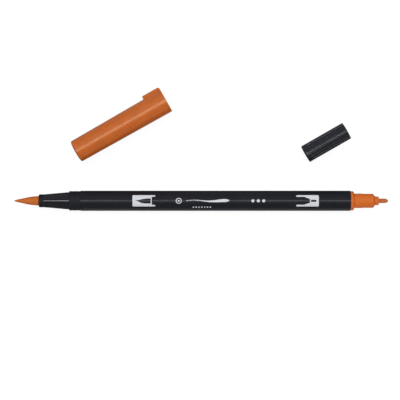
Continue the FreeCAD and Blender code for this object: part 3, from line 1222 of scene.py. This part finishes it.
def floor_material():
    """White to the camera, and to everything else a dimmer diffuse surface with painted light and shade.
    """
    material = bpy.data.materials.new("floor")
    material.use_nodes = True
    tree = material.node_tree
    tree.nodes.clear()
    lit = tree.nodes.new("ShaderNodeBsdfDiffuse")
    tree.links.new(given_back(tree), lit.inputs["Color"])
    seen = add(tree, "ShaderNodeBsdfDiffuse", in_Color=(FLOOR_SEEN, FLOOR_SEEN, FLOOR_SEEN, 1))
    glow = add(tree, "ShaderNodeEmission", in_Strength=FLOOR_GLOW)
    white = tree.nodes.new("ShaderNodeAddShader")
    tree.links.new(seen.outputs[0], white.inputs[0])
    tree.links.new(glow.outputs[0], white.inputs[1])
    choice = tree.nodes.new("ShaderNodeMixShader")
    path = tree.nodes.new("ShaderNodeLightPath")
    output = tree.nodes.new("ShaderNodeOutputMaterial")
    tree.links.new(path.outputs["Is Camera Ray"], choice.inputs[0])
    tree.links.new(lit.outputs[0], choice.inputs[1])
    tree.links.new(white.outputs[0], choice.inputs[2])
    tree.links.new(choice.outputs[0], output.inputs[0])
    return material


def make_floor():
    """Pale floor that looks white, with painted light and shade by the pen in what it gives back."""
    bm = bmesh.new()
    bmesh.ops.create_grid(bm, x_segments=1, y_segments=1, size=FLOOR_SIZE)
    bmesh.ops.translate(bm, verts=bm.verts, vec=(0, 0, FLOOR_Z * MM - FLOOR_GAP))
    mesh = mesh_from(bm, "floor")
    mesh.materials.append(floor_material())
    in_scene("floor", mesh)


def make_world():
    """Dim room with two faint panels on the far side, and white where it is seen."""
    world = bpy.data.worlds.new("studio")
    bpy.context.scene.world = world
    world.use_nodes = True
    tree = world.node_tree
    tree.nodes.clear()
    direction = tree.nodes.new("ShaderNodeTexCoord").outputs["Generated"]
    parts = tree.nodes.new("ShaderNodeSeparateXYZ")
    tree.links.new(direction, parts.inputs[0])
    tilt = maths(tree, "DIVIDE", maths(tree, "ARCTAN2", parts.outputs["Y"], parts.outputs["Z"]), math.pi)
    ramp = tree.nodes.new("ShaderNodeValToRGB")
    tree.links.new(ranged(tree, tilt, 0, 1, (-1, 1)), ramp.inputs[0])
    stops = ramp.color_ramp.elements
    for degrees, level in ROOM_LEVELS:
        place = (degrees / 180 + 1) / 2
        stop = stops[0] if degrees == ROOM_LEVELS[0][0] else stops.new(place)
        stop.position = place
        stop.color = (level, level, level * ROOM_BLUE, 1)
    stops.remove(stops[len(stops) - 1])
    room = tree.nodes.new("ShaderNodeBackground")
    tree.links.new(ramp.outputs[0], room.inputs["Color"])
    seen = add(tree, "ShaderNodeBackground", in_Strength=1.0, in_Color=(1, 1, 1, 1))
    choice = tree.nodes.new("ShaderNodeMixShader")
    path = tree.nodes.new("ShaderNodeLightPath")
    output = tree.nodes.new("ShaderNodeOutputWorld")
    tree.links.new(path.outputs["Is Camera Ray"], choice.inputs[0])
    tree.links.new(room.outputs[0], choice.inputs[1])
    tree.links.new(seen.outputs[0], choice.inputs[2])
    tree.links.new(choice.outputs[0], output.inputs[0])


# Lights, which all face this point: place and size in metres, and radiance
LIGHT_AIM = Vector((0, 0, 0))
STRIP_OVERHEAD = ((0, 0.015, 1.25), (3.2, 0.25), 4.6)
SOFT_KEY = ((0, 0.75, 1.0), (2.4, 1.2), 1.55)
SOFT_FILL = ((0, -1.15, 0.35), (2.4, 0.9), 1.5)


def make_light(name, place, size, radiance, in_highlights=True):
    """Rectangular soft light that the camera doesn't see."""
    data = bpy.data.lights.new(name, "AREA")
    data.shape = "RECTANGLE"
    data.size, data.size_y = size
    data.energy = radiance * math.pi * size[0] * size[1]
    light = in_scene(name, data)
    light.location = place
    light.rotation_euler = (LIGHT_AIM - Vector(place)).to_track_quat("-Z", "Y").to_euler()
    light.visible_camera = False
    light.visible_glossy = in_highlights


# Camera, straight above: what it takes in across, and where it is
FRAME_WIDTH = 162.64
CAMERA_CENTRE = (-6.3, 0.33)
CAMERA_HEIGHT = 900.0
SENSOR_WIDTH = 36.0


def make_camera():
    data = bpy.data.cameras.new("camera")
    data.sensor_width = SENSOR_WIDTH
    data.lens = SENSOR_WIDTH * CAMERA_HEIGHT / FRAME_WIDTH
    data.clip_start = 0.05
    data.clip_end = 20
    camera = in_scene("camera", data)
    camera.location = Vector((*CAMERA_CENTRE, CAMERA_HEIGHT)) * MM
    bpy.context.scene.camera = camera


make_barrel()
make_section()
make_land_ribs()
make_collar()
make_brush()
make_holder()
make_nib()
make_brush_cap()
make_fine_cap()

brush_panel()
fine_panel()
stroke_mark()
ring_mark()
dot_row("print_small_dots", -9.0, -2.75, SMALL_DOTS)
dot_row("print_large_dots", 15.1, 0.0, LARGE_DOTS)

paint_cad("brush_cap_liner", LINER_POLYMER)
paint_cad("fine_cap_liner", LINER_POLYMER)
paint_cad("spacer_ring_brush_end", RING_POLYMER)
paint_cad("spacer_ring_fine_end", RING_POLYMER)
paint_cad("ink_reservoir", RESERVOIR_FIBRE)
paint_cad("reservoir_wrap", FILM_POLYMER)

make_floor()
make_world()
make_light("strip_overhead", *STRIP_OVERHEAD)
make_light("soft_key", *SOFT_KEY, in_highlights=False)
make_light("soft_fill", *SOFT_FILL, in_highlights=False)
make_camera()
bpy.context.scene.view_settings.view_transform = "Standard"
